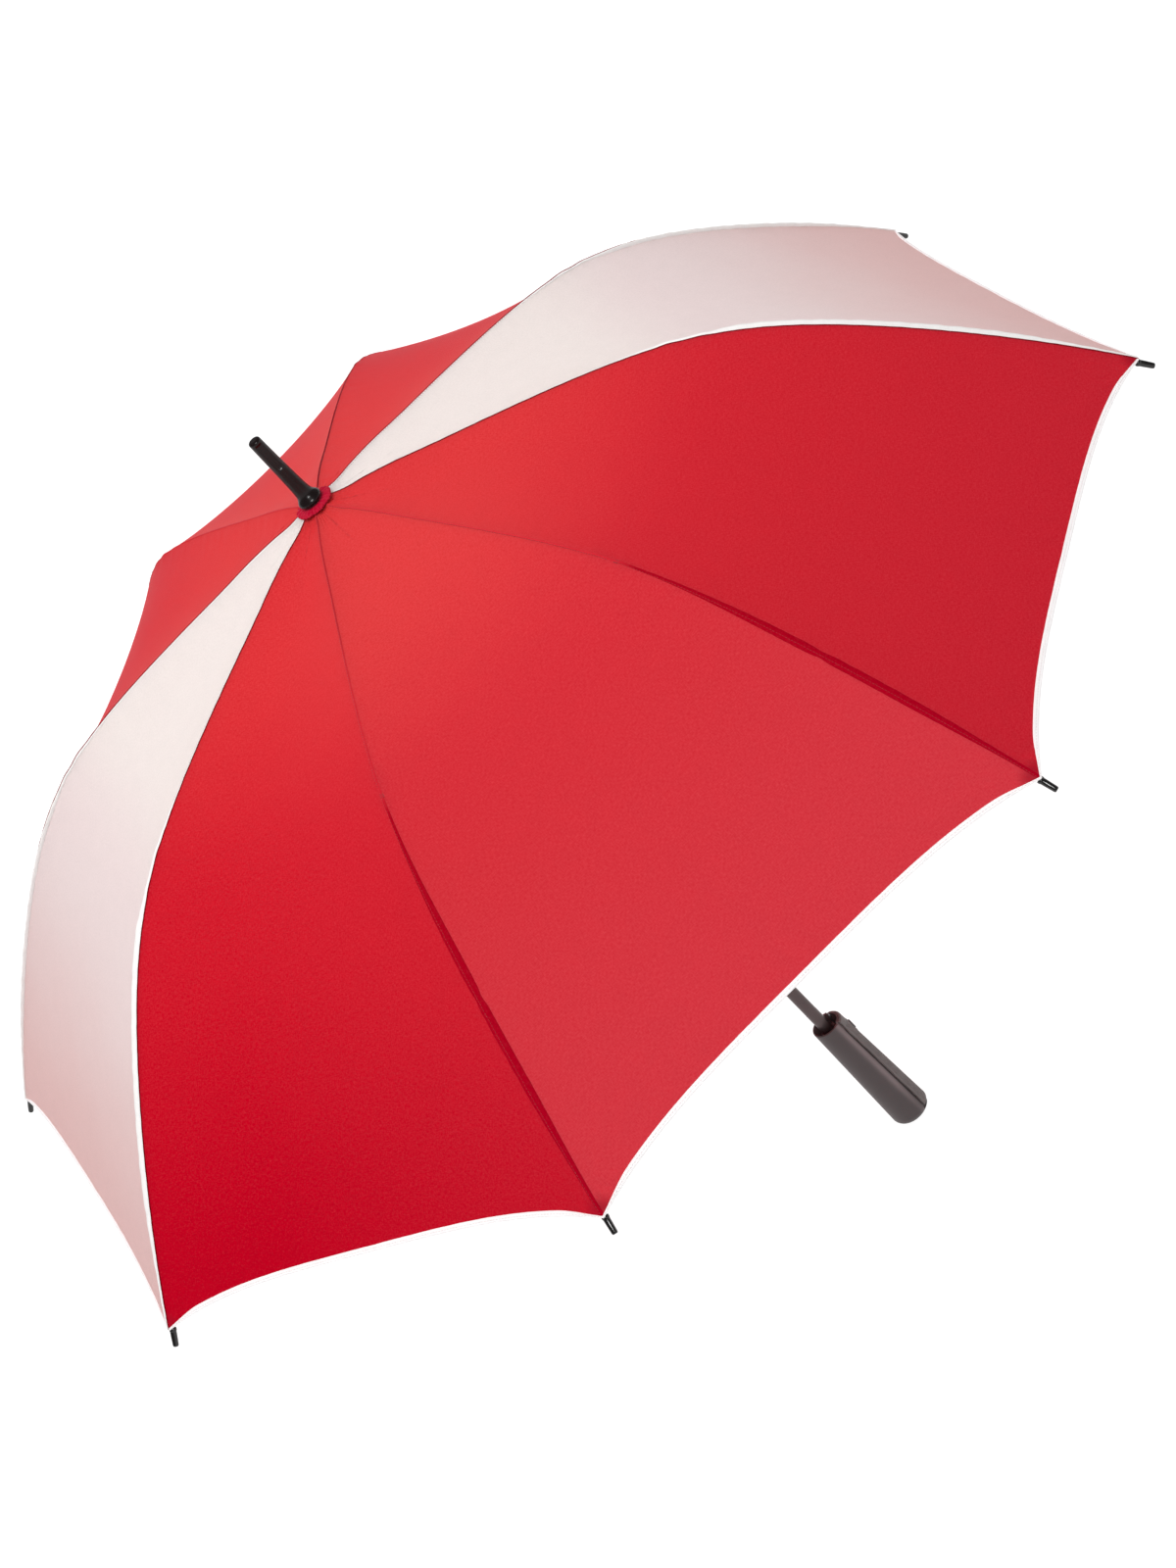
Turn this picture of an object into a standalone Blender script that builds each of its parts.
"""Eight-rib golf umbrella, open.  Metres, +Z up the shaft, origin on the shaft's axis at the
handle's flat end.

Every moving piece is built in its own frame, whose origin is on its hinge or slide axis.
Ribs are numbered clockwise seen from above; panel k spans from rib k to rib k+1 and is carried
by rib k.  In a rib's frame +X points outward from the shaft and Y is square to the rib's plane.
"""
import math

import bmesh
import bpy
import numpy as np
from mathutils import Matrix, Vector

for old in list(bpy.data.objects):
    bpy.data.objects.remove(old, do_unlink=True)

# ---------------------------------------------------------------- driving dimensions (metres)
RIBS = 8
HALF = math.pi / RIBS                 # half the angle between two ribs
R_TIP = 0.650                         # shaft axis to the fabric's corners
Z_CROWN = 0.932                       # fabric's apex above the handle's end
FIRST_AZIMUTH = math.radians(-22.5)   # rib 1
WHITE_PANELS = (4, 8)
STRAP_PANEL = 6

# Arch of the fabric over a rib.  Arcs are lengths along it from the apex, in units of R_TIP.
# Slope: a smooth step of SLOPE_GAIN at arc SLOPE_MID, plus a quadratic term.
SLOPE_0 = 0.1710
SLOPE_GAIN = 0.4654
SLOPE_MID = 0.5939
SLOPE_WIDTH = 0.1474
SLOPE_QUAD = 0.1953
ARCH_SAMPLES = 2400
ARC_END = 1.1807                      # whole arch
ARC_KNEE = 0.555                      # where the two halves of a rib join
ARC_LUG = 0.545                       # the stretcher's joint
ARC_SPLIT = 0.0003                    # each half panel stops this far from the knee
RIB_ARCS_IN = (0.035, 0.18, 0.31, 0.40, 0.48)         # stations along a rib's inner half
RIB_ARCS_OUT = (0.605, 0.66, 0.73, 0.82, 0.94, 1.06)  # and along its outer half

SAG = 0.013                           # how far the fabric hangs in between two ribs
SAG_POWER = 0.85                      # below 1 moves the deepest sag towards the shaft
SCALLOP = 0.0225                      # hem's rise between two ribs, along the fabric
SCALLOP_POWER = 3.65
FABRIC_T = 0.0014
SEAM_GAP = 0.0002                     # each panel's edge stands this far off the rib's plane
R_FABRIC_IN = 0.0085                  # fabric's inner edge round the shaft
INNER_COLUMNS, OUTER_COLUMNS = 4, 6   # faces across a panel's two halves

RIB_R = 0.0020
RIB_BELOW = 0.0044                    # rib's axis below the fabric's outer face
RIB_PIVOT_R = 0.0110
RIB_EYE_HALF = 0.0011                 # half thickness of the eye at the top notch
KNEE_EYE_Y = (0.00025, 0.0019)        # outer half's eye; the inner half's is its mirror image
EYE_R = 0.0022
LUG_DROP = 0.0070                     # stretcher's joint below the rib's axis
STRETCH_Y = (-0.0052, -0.0025)        # stretcher lies beside the rib, not under it
STRETCH_HALF_H = 0.0017
STRETCH_LEN = 0.3950
RUNNER_PIVOT_R = 0.0135
RUNNER_Z_CLOSED = 0.1911              # runner's hinge height with the umbrella shut
TIP_R = 0.0032
TIP_LEN = 0.0160
SLOT_CLEAR = 0.0004                   # each side of an eye in its slot

SHAFT_R, SHAFT_BORE_R = 0.0064, 0.0054
SHAFT_Z0, SHAFT_Z1 = 0.0220, 0.9392
HANDLE_LEN = 0.1485
GAP = 0.0003                          # between the handle and the pieces let into it

# ---------------------------------------------------------------- materials


def material(name, rgb, roughness, metallic=0.0):
    mat = bpy.data.materials.new(name)
    mat.use_nodes = True
    inputs = mat.node_tree.nodes["Principled BSDF"].inputs
    inputs["Base Color"].default_value = (*rgb, 1.0)
    inputs["Roughness"].default_value = roughness
    inputs["Metallic"].default_value = metallic
    return mat


FABRIC_RED = material("fabric_red", rgb=(0.66, 0.030, 0.045), roughness=0.62)
FABRIC_WHITE = material("fabric_white", rgb=(0.86, 0.80, 0.78), roughness=0.62)
FABRIC_DARK = material("fabric_crimson", rgb=(0.45, 0.008, 0.03), roughness=0.7)
SHAFT_GREY = material("shaft_grey", rgb=(0.035, 0.030, 0.032), roughness=0.35, metallic=0.5)
FIBRE_BLACK = material("fibreglass_black", rgb=(0.02, 0.02, 0.022), roughness=0.32)
PLASTIC_BLACK = material("plastic_black", rgb=(0.018, 0.016, 0.016), roughness=0.36)
RUNNER_BLACK = material("runner_plastic", rgb=(0.022, 0.021, 0.021), roughness=0.42)
HANDLE_GREY = material("handle_soft_grey", rgb=(0.060, 0.048, 0.048), roughness=0.55)
STRIP_GREY = material("handle_strip_grey", rgb=(0.085, 0.075, 0.073), roughness=0.6)
BUTTON_GREY = material("button_grey", rgb=(0.045, 0.040, 0.040), roughness=0.45)
SPRING_STEEL = material("spring_steel", rgb=(0.50, 0.50, 0.51), roughness=0.30, metallic=1.0)

# ---------------------------------------------------------------- mesh helpers
SHARP_ANGLE = math.radians(38)


def make_mesh(name, solid, mat):
    """Clean up a bmesh and turn it into smooth-shaded mesh data."""
    bmesh.ops.remove_doubles(solid, verts=solid.verts, dist=1e-7)
    bmesh.ops.recalc_face_normals(solid, faces=solid.faces)
    mesh = bpy.data.meshes.new(name)
    solid.to_mesh(mesh)
    solid.free()
    mesh.shade_smooth()
    mesh.set_sharp_from_angle(angle=SHARP_ANGLE)
    mesh.materials.append(mat)
    return mesh


def place(name, mesh, location=(0, 0, 0), azimuth=0.0, parent=None):
    """Add an object; location and azimuth are in the world, whatever its parent."""
    obj = bpy.data.objects.new(name, mesh)
    bpy.context.scene.collection.objects.link(obj)
    world = Matrix.Translation(Vector(location)) @ Matrix.Rotation(azimuth, 4, "Z")
    if parent is not None:
        obj.parent = parent
        bpy.context.view_layer.update()
        obj.matrix_local = parent.matrix_world.inverted() @ world
    else:
        obj.matrix_world = world
    bpy.context.view_layer.update()
    return obj


def add_piece(name, solid, mat, *where):
    return place(name, make_mesh(name, solid, mat), *where)


def skin(solid, rings):
    """Join rings of points into a tube and cap both ends."""
    rings = [[solid.verts.new(point) for point in ring] for ring in rings]
    count = len(rings[0])
    for low, high in zip(rings, rings[1:]):
        for j in range(count):
            k = (j + 1) % count
            solid.faces.new((low[j], low[k], high[k], high[j]))
    solid.faces.new(list(reversed(rings[0])))
    solid.faces.new(rings[-1])
    return solid


def turn(count):
    """Equally spaced angles round a full turn."""
    return [2 * math.pi * i / count for i in range(count)]


def lathe(solid, profile, sides, base=(0, 0, 0), axis=(0, 0, 1), closed=False):
    """Turn (radius, height) points about an axis through base.

    Radius 0 makes a pole; closed joins the last point to the first.
    """
    base, axis = Vector(base), Vector(axis).normalized()
    side = Vector((1, 0, 0)) if abs(axis.x) < 0.9 else Vector((0, 1, 0))
    side = (side - axis * side.dot(axis)).normalized()
    other = axis.cross(side)
    rings = []
    for radius, height in profile:
        centre = base + axis * height
        if radius < 1e-9:
            rings.append([solid.verts.new(centre)])
        else:
            rings.append([solid.verts.new(
                centre + (side * math.cos(angle) + other * math.sin(angle)) * radius)
                for angle in turn(sides)])
    pairs = list(zip(rings, rings[1:]))
    if closed:
        pairs.append((rings[-1], rings[0]))
    for low, high in pairs:
        for j in range(sides):
            k = (j + 1) % sides
            if len(low) == 1:
                solid.faces.new((low[0], high[k], high[j]))
            elif len(high) == 1:
                solid.faces.new((low[j], low[k], high[0]))
            else:
                solid.faces.new((low[j], low[k], high[k], high[j]))
    return solid


def box(solid, low, high, azimuth=0.0):
    rotation = Matrix.Rotation(azimuth, 4, "Z")
    corners = ((low[0], low[1]), (high[0], low[1]), (high[0], high[1]), (low[0], high[1]))
    return skin(solid, [[rotation @ Vector((x, y, z)) for x, y in corners]
                        for z in (low[2], high[2])])


def prism(section, half_width):
    """Extrude an (x, z) section to both sides of the XZ plane."""
    return skin(bmesh.new(), [[Vector((x, y, z)) for x, z in section]
                              for y in (-half_width, half_width)])


def boolean(obj, name, solid, operation="DIFFERENCE", location=(0, 0, 0)):
    """Make a hidden helper object of the solid and apply it to obj with a modifier."""
    bmesh.ops.recalc_face_normals(solid, faces=solid.faces)
    mesh = bpy.data.meshes.new(name)
    solid.to_mesh(mesh)
    solid.free()
    helper = bpy.data.objects.new(name, mesh)
    bpy.context.scene.collection.objects.link(helper)
    helper.location = location
    helper.hide_render = True
    helper.display_type = "WIRE"
    modifier = obj.modifiers.new(operation.lower() + "_" + name, "BOOLEAN")
    modifier.operation = operation
    modifier.solver = "EXACT"
    modifier.object = helper


# ---------------------------------------------------------------- the rib's arch


def running_integral(values, step):
    return np.concatenate(([0.0], np.cumsum((values[1:] + values[:-1]) / 2 * step)))


def sample_arch():
    """Arcs, and the radius, height and slope angle of the fabric's outer face at each."""
    arcs = np.linspace(0.0, ARC_END, ARCH_SAMPLES)
    step_up = 0.5 * (1 + np.tanh((arcs - SLOPE_MID) / SLOPE_WIDTH))
    slopes = SLOPE_0 + SLOPE_GAIN * step_up + SLOPE_QUAD * arcs ** 2
    radii = running_integral(np.cos(slopes), arcs[1])
    falls = running_integral(np.sin(slopes), arcs[1])
    scale = R_TIP / radii[-1]         # puts the corners exactly at R_TIP
    return arcs, radii * scale, Z_CROWN - falls * scale, slopes


ARCS, ARCH_RADII, ARCH_HEIGHTS, ARCH_SLOPES = sample_arch()


def arch(arc):
    """Fabric over a rib: radius, height, slope angle."""
    return tuple(float(np.interp(arc, ARCS, column))
                 for column in (ARCH_RADII, ARCH_HEIGHTS, ARCH_SLOPES))


def under(arc, drop):
    """Point below the fabric's outer face and the unit normal there, both as (radius, z)."""
    radius, z, slope = arch(arc)
    normal = np.array([math.sin(slope), math.cos(slope)])
    return np.array([radius, z]) - drop * normal, normal


def outward(normal):
    """Unit direction down the rib, square to its normal."""
    return np.array([normal[1], -normal[0]])


def arc_at_radius(radius):
    return float(np.interp(radius, ARCH_RADII, ARCS))


def fabric(arc, across):
    """Fabric's outer face between two ribs: the point and the outward unit normal.

    The frame's x is the panel's middle; across runs from -1 at rib k+1 to +1 at rib k.
    """
    radius, z, slope = arch(arc)
    sag = SAG * math.sin(math.pi * (arc / ARC_END) ** SAG_POWER) * (1 - across * across)
    normal = np.array([math.sin(slope), 0.0, math.cos(HALF) * math.cos(slope)])
    normal /= np.linalg.norm(normal)
    flat = np.array([radius * math.cos(HALF), radius * math.sin(HALF) * across, z])
    return flat - sag * normal, normal


# Joints as (radius, z)
ARC_PIVOT = arc_at_radius(RIB_PIVOT_R)
PIVOT = np.array([RIB_PIVOT_R, under(ARC_PIVOT, RIB_BELOW)[0][1]])
KNEE, KNEE_NORMAL = under(ARC_KNEE, RIB_BELOW)
LUG = under(ARC_LUG, RIB_BELOW + LUG_DROP)[0]
Z_RUNNER = float(LUG[1] - math.sqrt(STRETCH_LEN ** 2 - (LUG[0] - RUNNER_PIVOT_R) ** 2))
RUNNER_PIVOT = np.array([RUNNER_PIVOT_R, Z_RUNNER])


def rib_azimuth(k):
    return FIRST_AZIMUTH - 2 * HALF * (k - 1)


# ---------------------------------------------------------------- rods with flat eyes
# A station is (centre, normal, y0, y1, up, down, chamfer): a hexagonal section whose centre
# and normal are (x, z) pairs in the rod's plane.


def bar(stations):
    rings = []
    for centre, normal, y0, y1, up, down, chamfer in stations:
        top, bottom = centre + normal * up, centre - normal * down
        rings.append([
            (centre[0], y0, centre[1]),
            (top[0], y0 + chamfer, top[1]),
            (top[0], y1 - chamfer, top[1]),
            (centre[0], y1, centre[1]),
            (bottom[0], y1 - chamfer, bottom[1]),
            (bottom[0], y0 + chamfer, bottom[1])])
    return skin(bmesh.new(), rings)


def eye(centre, along, normal, y0, y1, first):
    """Stations of a round flat eye; first = True where the rod starts here."""
    steps = (-0.94, -0.6, 0.0, 0.7) if first else (-0.7, 0.0, 0.6, 0.94)
    stations = []
    for step in steps:
        half = EYE_R * math.sqrt(1 - step * step)
        stations.append((centre + along * EYE_R * step, normal, y0, y1, half, half, 0.0002))
    return stations


def rib_station(arc, origin, half_y=RIB_R, up=RIB_R, down=RIB_R, chamfer=0.0008, beyond=0.0):
    """Station on the rib's axis, moved outward along the rib by beyond."""
    centre, normal = under(arc, RIB_BELOW)
    centre = centre - origin + outward(normal) * beyond
    return centre, normal, -half_y, half_y, up, down, chamfer


def rib_inner():
    """From the top notch to the knee, its origin on the notch's pivot."""
    normal = under(ARC_PIVOT, 0)[1]
    stations = eye(np.zeros(2), outward(normal), normal, -RIB_EYE_HALF, RIB_EYE_HALF, True)
    # neck, as thin as the eye, clears the notch's slot
    stations.append(rib_station(ARC_PIVOT + 0.0112, PIVOT, half_y=RIB_EYE_HALF,
                                up=0.0017, down=0.0017, chamfer=0.0003))
    for arc in (ARC_PIVOT + 0.0148, *RIB_ARCS_IN[1:], ARC_LUG - 0.0095):
        stations.append(rib_station(arc, PIVOT))
    # the deep lug that carries the stretcher
    for arc in (ARC_LUG - 0.0055, ARC_KNEE - 0.0058):
        stations.append(rib_station(arc, PIVOT, down=LUG_DROP + 0.0024, chamfer=0.0003))
    stations += eye(KNEE - PIVOT, outward(KNEE_NORMAL), KNEE_NORMAL,
                    -KNEE_EYE_Y[1], -KNEE_EYE_Y[0], False)
    return bar(stations)


def rib_outer():
    """From the knee to the fabric's corner, its origin on the knee's axis."""
    stations = eye(np.zeros(2), outward(KNEE_NORMAL), KNEE_NORMAL, *KNEE_EYE_Y, True)
    for arc in (ARC_KNEE + 0.0075, *RIB_ARCS_OUT, ARC_END):
        stations.append(rib_station(arc, KNEE))
    # thinner end, inside the tip's socket
    stations.append(rib_station(ARC_END, KNEE, half_y=0.0017, up=0.0017, down=0.0017,
                                chamfer=0.0006, beyond=0.008))
    return bar(stations)


def stretcher():
    """From the runner up to the rib's lug, its origin on the lug's axis."""
    along = (LUG - RUNNER_PIVOT) / STRETCH_LEN
    normal = np.array([-along[1], along[0]])
    stations = eye(-along * STRETCH_LEN, along, normal, *STRETCH_Y, True)
    for distance in (0.005, 0.12, 0.26, STRETCH_LEN - 0.005):    # from the runner's hinge
        stations.append((along * (distance - STRETCH_LEN), normal, *STRETCH_Y,
                         STRETCH_HALF_H, STRETCH_HALF_H, 0.0004))
    stations += eye(np.zeros(2), along, normal, *STRETCH_Y, False)
    return bar(stations)


# (radius, distance beyond the fabric's corner): the blind socket, then the outside
TIP_PROFILE = (
    (0.0, 0.0092), (0.0026, 0.0092), (0.0026, 0.0012),
    (TIP_R + 0.0002, 0.0012), (TIP_R + 0.0002, 0.0026), (TIP_R - 0.0002, 0.0030),
    (TIP_R - 0.0005, TIP_LEN - 0.0006), (TIP_R - 0.0010, TIP_LEN), (0.0, TIP_LEN))


def rib_tip():
    """Blunt cap over the rib's end, its origin on the knee's axis."""
    end, normal = under(ARC_END, RIB_BELOW)
    base, axis = end - KNEE, outward(normal)
    return lathe(bmesh.new(), TIP_PROFILE, 10, base=(base[0], 0, base[1]),
                 axis=(axis[0], 0, axis[1]))


# ---------------------------------------------------------------- fabric panels
TO_RIB = Matrix.Rotation(-HALF, 3, "Z")     # from the panel's middle to rib k's frame


def panel(arcs, columns, origin, arc_of=lambda arc, across: arc):
    """Closed shell of fabric about a joint; arc_of(arc at the rib, across) gives the arc."""
    solid = bmesh.new()
    origin = Vector((origin[0], 0, origin[1]))
    upper, lower = [], []
    for arc in arcs:
        upper.append([])
        lower.append([])
        for j in range(columns + 1):
            across = -1.0 + 2.0 * j / columns
            face, normal = fabric(arc_of(arc, across), across)
            for row, drop in ((upper[-1], 0.0), (lower[-1], FABRIC_T)):
                point = face - normal * drop
                if j in (0, columns):       # stay on this side of the rib's own plane
                    point[1] = math.copysign(point[0] * math.tan(HALF) - SEAM_GAP, across)
                row.append(solid.verts.new(TO_RIB @ Vector(point) - origin))
    add_face = solid.faces.new
    rows = len(arcs) - 1
    for i in range(rows):
        for j in range(columns):
            add_face((upper[i][j], upper[i + 1][j], upper[i + 1][j + 1], upper[i][j + 1]))
            add_face((lower[i][j], lower[i][j + 1], lower[i + 1][j + 1], lower[i + 1][j]))
    for i in range(rows):
        add_face((upper[i][0], lower[i][0], lower[i + 1][0], upper[i + 1][0]))
        add_face((upper[i][-1], upper[i + 1][-1], lower[i + 1][-1], lower[i][-1]))
    for j in range(columns):
        add_face((upper[0][j], upper[0][j + 1], lower[0][j + 1], lower[0][j]))
        add_face((upper[-1][j], lower[-1][j], lower[-1][j + 1], upper[-1][j + 1]))
    return solid


def scalloped(arc, across):
    """Shorten the outer panel between ribs so that its hem curves in."""
    rise = SCALLOP / R_TIP * (1 - abs(across) ** SCALLOP_POWER)
    return arc - rise * (arc - ARC_KNEE) / (ARC_END - ARC_KNEE)


def panel_inner():
    arcs = (arc_at_radius(R_FABRIC_IN), *RIB_ARCS_IN, ARC_KNEE - ARC_SPLIT)
    return panel(arcs, INNER_COLUMNS, PIVOT)


def panel_outer():
    arcs = (ARC_KNEE + ARC_SPLIT, *RIB_ARCS_OUT, ARC_END)
    return panel(arcs, OUTER_COLUMNS, KNEE, scalloped)


# Tie band: its ends as arcs, its segments, and its section as
# (distance from the rib, drop below the fabric's outer face)
STRAP_ARCS = (ARC_END - 0.36, ARC_END - 0.10)
STRAP_SEGMENTS = 5
STRAP_SECTION = ((0.007, 0.0038), (0.027, 0.0038), (0.027, 0.0050), (0.007, 0.0050))


def strap():
    """Tie band lying along the underside of a panel, beside a rib."""
    origin = Vector((KNEE[0], 0, KNEE[1]))
    start, end = STRAP_ARCS
    rings = []
    for i in range(STRAP_SEGMENTS + 1):
        arc = start + (end - start) * i / STRAP_SEGMENTS
        half_width = arch(arc)[0] * math.sin(HALF)
        ring = []
        for lateral, drop in STRAP_SECTION:
            point, normal = fabric(arc, 1.0 - lateral / half_width)
            ring.append(TO_RIB @ Vector(point - normal * drop) - origin)
        rings.append(ring)
    return skin(bmesh.new(), rings)


# ---------------------------------------------------------------- the canopy


def build_canopy():
    """Eight ribs with their stretchers, tips and panels, sharing meshes."""
    inner_mesh = make_mesh("rib_inner", rib_inner(), FIBRE_BLACK)
    outer_mesh = make_mesh("rib_outer", rib_outer(), FIBRE_BLACK)
    stretcher_mesh = make_mesh("stretcher", stretcher(), FIBRE_BLACK)
    tip_mesh = make_mesh("rib_tip", rib_tip(), PLASTIC_BLACK)
    panel_meshes = {
        mat: (make_mesh("panel_inner", panel_inner(), mat),
              make_mesh("panel_outer", panel_outer(), mat))
        for mat in (FABRIC_RED, FABRIC_WHITE)}
    for k in range(1, RIBS + 1):
        azimuth = rib_azimuth(k)
        pivot, knee, lug = (
            Vector((math.cos(azimuth) * radius, math.sin(azimuth) * radius, z))
            for radius, z in (PIVOT, KNEE, LUG))
        inner = place(f"rib_{k}_inner", inner_mesh, pivot, azimuth)
        outer = place(f"rib_{k}_outer", outer_mesh, knee, azimuth, inner)
        place(f"stretcher_{k}", stretcher_mesh, lug, azimuth, inner)
        place(f"rib_tip_{k}", tip_mesh, knee, azimuth, outer)
        fabrics = panel_meshes[FABRIC_WHITE if k in WHITE_PANELS else FABRIC_RED]
        place(f"panel_{k}_inner", fabrics[0], pivot, azimuth, inner)
        place(f"panel_{k}_outer", fabrics[1], knee, azimuth, outer)
        if k == STRAP_PANEL:
            add_piece("closing_strap", strap(), FABRIC_RED, knee, azimuth, outer)


build_canopy()

# ---------------------------------------------------------------- top of the shaft
# Profiles are (radius, z).
FERRULE_PROFILE = (
    (0.0, 0.9165), (0.0048, 0.9165), (0.0051, 0.9172), (0.0051, 0.9396), (0.0067, 0.9396),
    (0.0067, 0.9353), (0.0116, 0.9353), (0.0119, 0.9363), (0.0114, 0.9385), (0.0092, 0.9415),
    (0.0076, 0.9452), (0.0068, 0.9500), (0.0064, 0.9600), (0.0058, 1.0060), (0.0053, 1.0110),
    (0.0042, 1.0135), (0.0028, 1.0140), (0.0, 1.0140))
ROSETTE_PROFILE = (
    (0.0070, 0.9325), (0.0174, 0.9311), (0.0176, 0.9322), (0.0168, 0.9333), (0.0120, 0.9349),
    (0.0070, 0.9349))
NOTCH_TOP = 0.9276
NOTCH_PROFILE = (
    (0.0067, 0.9150), (0.0084, 0.9150), (0.0084, 0.9195), (0.0136, 0.9205), (0.0142, 0.9215),
    (0.0142, NOTCH_TOP - 0.0018), (0.0136, NOTCH_TOP - 0.0012), (0.0067, NOTCH_TOP))

add_piece("ferrule", lathe(bmesh.new(), FERRULE_PROFILE, 20), PLASTIC_BLACK)
add_piece("crown_rosette", lathe(bmesh.new(), ROSETTE_PROFILE, 24, closed=True), FABRIC_DARK)


def radial_slots(low, high):
    """A box for each rib, turned to its azimuth."""
    solid = bmesh.new()
    for k in range(1, RIBS + 1):
        box(solid, low, high, rib_azimuth(k))
    return solid


def build_top_notch():
    notch = add_piece("top_notch", lathe(bmesh.new(), NOTCH_PROFILE, 24, closed=True),
                      RUNNER_BLACK)
    half = RIB_EYE_HALF + SLOT_CLEAR
    boolean(notch, "notch_slots", radial_slots((0.00855, -half, 0.9100), (0.0200, half, 0.9400)))


build_top_notch()

# ---------------------------------------------------------------- shaft
PIN_DROP = 0.0200                     # spring's pin below the runner's hinges
TRAVEL = Z_RUNNER - RUNNER_Z_CLOSED
SHAFT_SLOT_HALF = 0.00155
SHAFT_SLOT_END = 0.0016               # slot's length beyond the pin's axis at each end


def build_shaft():
    """Tube with a slot each side for the spring's pin."""
    profile = ((SHAFT_R, SHAFT_Z0), (SHAFT_R, SHAFT_Z1),
               (SHAFT_BORE_R, SHAFT_Z1), (SHAFT_BORE_R, SHAFT_Z0))
    shaft = add_piece("shaft", lathe(bmesh.new(), profile, 20, closed=True), SHAFT_GREY)
    z_pin = Z_RUNNER - PIN_DROP
    boolean(shaft, "shaft_slot", box(
        bmesh.new(), (-0.0200, -SHAFT_SLOT_HALF, z_pin - TRAVEL - SHAFT_SLOT_END),
        (0.0200, SHAFT_SLOT_HALF, z_pin + SHAFT_SLOT_END)))


build_shaft()

# ---------------------------------------------------------------- runner and opening spring
# Profiles are (radius, height above the runner's hinges).
RUNNER_PROFILE = (
    (0.00675, 0.0042), (0.0155, 0.0042), (0.0168, 0.0032), (0.0168, -0.0045),
    (0.0155, -0.0058), (0.0122, -0.0080), (0.0118, -0.0160), (0.0124, -0.0300),
    (0.0134, -0.0380), (0.0132, -0.0400), (0.0108, -0.0400), (0.0108, -0.0388),
    (0.0117, -0.0388), (0.0117, -0.0310), (0.00675, -0.0310))
PLUNGER_PROFILE = (
    (0.0, -0.0290), (0.0046, -0.0290), (0.0050, -0.0284), (0.0050, -0.0150),
    (0.0046, -0.0144), (0.0, -0.0144))
RUNNER_AT = Vector((0, 0, Z_RUNNER))

WIRE_R = 0.0006
WIRE_SIDES = 3
COIL_R = 0.0042
COIL_TURNS, COIL_STEPS = 20, 9        # turns, and rings in each turn
COIL_Z0, COIL_Z1 = 0.0300, Z_RUNNER - 0.0300


def cross_pin(solid, radius, half_length):
    """Cylinder along X through the shaft's axis, in the runner's frame."""
    profile = ((0.0, -half_length), (radius, -half_length), (radius, half_length),
               (0.0, half_length))
    return lathe(solid, profile, 10, base=(0, 0, -PIN_DROP), axis=(1, 0, 0))


def build_runner():
    runner = add_piece("runner", lathe(bmesh.new(), RUNNER_PROFILE, 24, closed=True),
                       RUNNER_BLACK, RUNNER_AT)
    slots = radial_slots((0.0110, STRETCH_Y[0] - SLOT_CLEAR, -0.0028),
                         (0.0230, STRETCH_Y[1] + SLOT_CLEAR, 0.0100))
    cross_pin(slots, radius=0.00150, half_length=0.012)
    boolean(runner, "runner_slots", slots, location=RUNNER_AT)


def build_plunger():
    """Slug inside the shaft, with the pin that joins it to the runner."""
    plunger = add_piece("spring_plunger", lathe(bmesh.new(), PLUNGER_PROFILE, 14),
                        SPRING_STEEL, RUNNER_AT)
    pin = cross_pin(bmesh.new(), radius=0.00120, half_length=0.0112)
    boolean(plunger, "plunger_pin", pin, "UNION", RUNNER_AT)


def opening_spring():
    steps = COIL_TURNS * COIL_STEPS
    rings = []
    for i in range(steps + 1):
        angle = 2 * math.pi * i / COIL_STEPS
        z = COIL_Z0 + WIRE_R + (COIL_Z1 - COIL_Z0 - 2 * WIRE_R) * i / steps
        ring = []
        for wire_angle in turn(WIRE_SIDES):
            radius = COIL_R + WIRE_R * math.cos(wire_angle)
            ring.append(Vector((radius * math.cos(angle), radius * math.sin(angle),
                                z + WIRE_R * math.sin(wire_angle))))
        rings.append(ring)
    return skin(bmesh.new(), rings)


build_runner()
build_plunger()
add_piece("opening_spring", opening_spring(), SPRING_STEEL)

# ---------------------------------------------------------------- handle
# The handle tapers upward and is set off towards +X, where a strip lies in its groove.
END_R = 0.0090                        # rounding of the bottom edge
TOP_BEVEL = 0.0006
GROOVE_HALF = math.radians(61.0)
GROOVE_Z0 = 0.004
STRIP_HALF = math.radians(53.5)
STRIP_DEPTH = 0.0026
STRIP_PROUD = 0.0002
STRIP_COLUMNS = 8
CUP_Z = 0.1345
CUP_WALL = 0.0033
CUP_SHIFT = 0.0012

HANDLE_HEIGHTS = (0.0, 0.0006, 0.0022, 0.0048, END_R, 0.0450, 0.0950, HANDLE_LEN - 0.0008,
                  HANDLE_LEN)
# degrees from +X; the close pairs are the groove's walls
HANDLE_ANGLES = (
    0, 15, 30, 45, 60.6, 61.4, 74, 88, 104, 122, 141, 160,
    180, 200, 219, 238, 256, 272, 286, 298.6, 299.4, 315, 330, 345)
# (height, how far the outer face is pulled in)
STRIP_STATIONS = (
    (0.0060, 0.0020), (0.0075, 0.0008), (0.0110, 0.0), (0.0450, 0.0), (0.0950, 0.0),
    (HANDLE_LEN - 0.0014, 0.0), (HANDLE_LEN - 0.0006, 0.0006))

BUTTON_Z0 = 0.1210
BUTTON_TALL = 0.0118
BUTTON_HALF_W = 0.0040
BUTTON_BACK_X = 0.0122
# (how far out of the handle's face, height above the button's lower edge)
BUTTON_FACE = (
    (0.0003, 0.0000), (0.0012, 0.0016), (0.0016, 0.0060), (0.0012, 0.0104),
    (0.0003, BUTTON_TALL))
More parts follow.
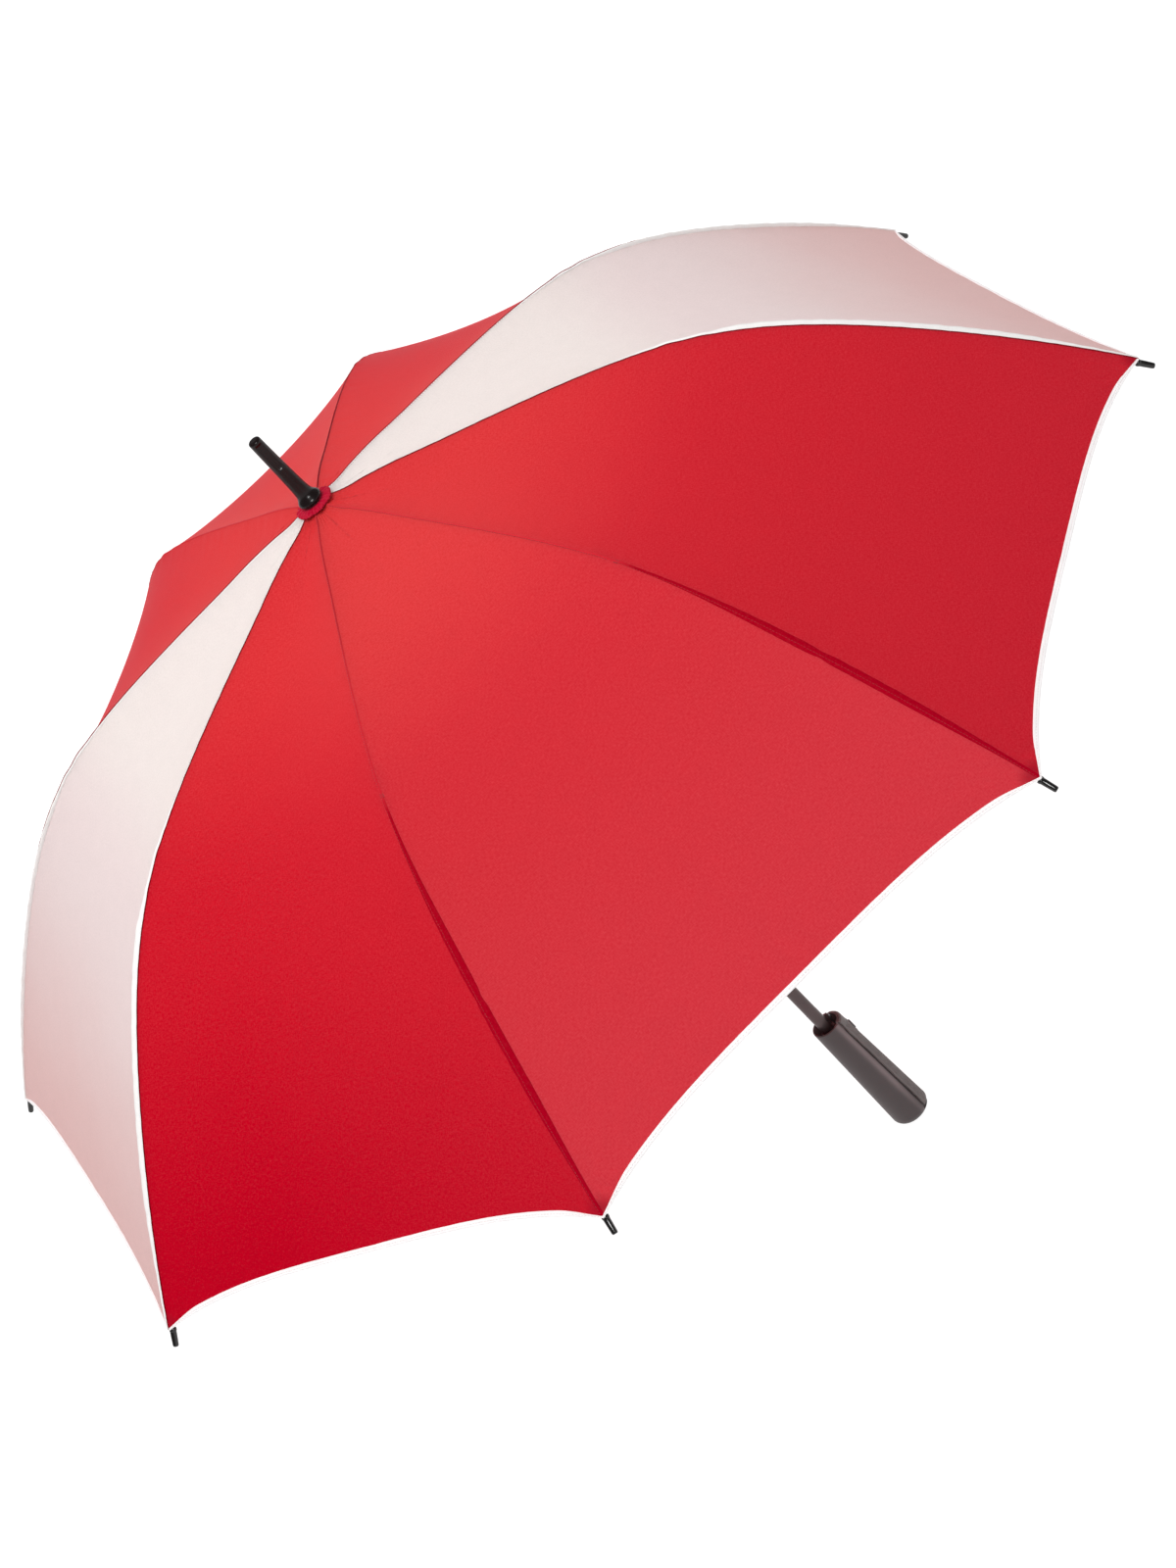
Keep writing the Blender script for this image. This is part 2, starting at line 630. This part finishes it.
# (x, z) of the latch, with its hook at the top
LATCH_SECTION = (
    (0.0089, 0.1125), (0.0118, 0.1125), (0.0118, 0.1290), (0.0103, 0.1300),
    (0.0103, 0.1526), (0.0114, 0.1526), (0.0104, 0.1546), (0.0089, 0.1546))
LATCH_HALF_W = 0.0022


def handle_radius(z):
    return 0.02075 - 0.0044 * z / HANDLE_LEN


def handle_centre(z):
    return 0.0046 - 0.00185 * z / HANDLE_LEN


def rounded_radius(z):
    """Handle's radius, less what the bottom edge's rounding takes off."""
    if z >= END_R:
        return handle_radius(z)
    return handle_radius(z) - END_R + math.sqrt(END_R ** 2 - (END_R - z) ** 2)


def around(centre_x, radius, angle, z):
    return Vector((centre_x + radius * math.cos(angle), radius * math.sin(angle), z))


def handle_body():
    rings = []
    for z in HANDLE_HEIGHTS:
        outer = rounded_radius(z) - (TOP_BEVEL if z == HANDLE_LEN else 0.0)
        ring = []
        for degrees in HANDLE_ANGLES:
            angle = math.radians(degrees)
            in_groove = min(angle, 2 * math.pi - angle) < GROOVE_HALF and z > GROOVE_Z0
            radius = outer - (STRIP_DEPTH if in_groove else 0.0)
            ring.append(around(handle_centre(z), radius, angle, z))
        rings.append(ring)
    return skin(bmesh.new(), rings)


def handle_cup():
    """Hollow in the handle's top that takes the runner's skirt."""
    return skin(bmesh.new(), [
        [around(handle_centre(z) - CUP_SHIFT, handle_radius(z) - CUP_WALL, angle, z)
         for angle in turn(24)]
        for z in (CUP_Z, HANDLE_LEN + 0.002)])


def button_hole():
    half = BUTTON_HALF_W + GAP
    return box(bmesh.new(), (0.0090, -half, BUTTON_Z0 - GAP),
               (0.0300, half, BUTTON_Z0 + BUTTON_TALL + GAP))


def build_handle():
    handle = add_piece("handle_body", handle_body(), HANDLE_GREY)
    boolean(handle, "handle_cup", handle_cup())
    bore = ((0.0, 0.0210), (0.0067, 0.0210), (0.0067, 0.1400), (0.0, 0.1400))
    boolean(handle, "handle_bore", lathe(bmesh.new(), bore, 20))
    boolean(handle, "latch_channel",
            box(bmesh.new(), (0.0050, -0.0030, 0.1105), (0.0128, 0.0030, 0.1360)))
    boolean(handle, "button_hole", button_hole())


def build_strip():
    angles = [-STRIP_HALF + 2 * STRIP_HALF * i / STRIP_COLUMNS
              for i in range(STRIP_COLUMNS + 1)]
    rings = []
    for z, pull in STRIP_STATIONS:
        outer = rounded_radius(z) - pull + STRIP_PROUD
        inner = rounded_radius(z) - STRIP_DEPTH + GAP
        centre = handle_centre(z)
        rings.append([around(centre, outer, angle, z) for angle in angles]
                     + [around(centre, inner, angle, z) for angle in reversed(angles)])
    strip = add_piece("handle_strip", skin(bmesh.new(), rings), STRIP_GREY)
    boolean(strip, "strip_hole", button_hole())


def release_button():
    face_x = handle_centre(0.127) + handle_radius(0.127)
    section = [(BUTTON_BACK_X, BUTTON_Z0)]
    section += [(face_x + proud, BUTTON_Z0 + height) for proud, height in BUTTON_FACE]
    section.append((BUTTON_BACK_X, BUTTON_Z0 + BUTTON_TALL))
    return prism(section, BUTTON_HALF_W)


build_handle()
build_strip()
add_piece("release_button", release_button(), BUTTON_GREY)
add_piece("latch_lever", prism(LATCH_SECTION, LATCH_HALF_W), SPRING_STEEL)
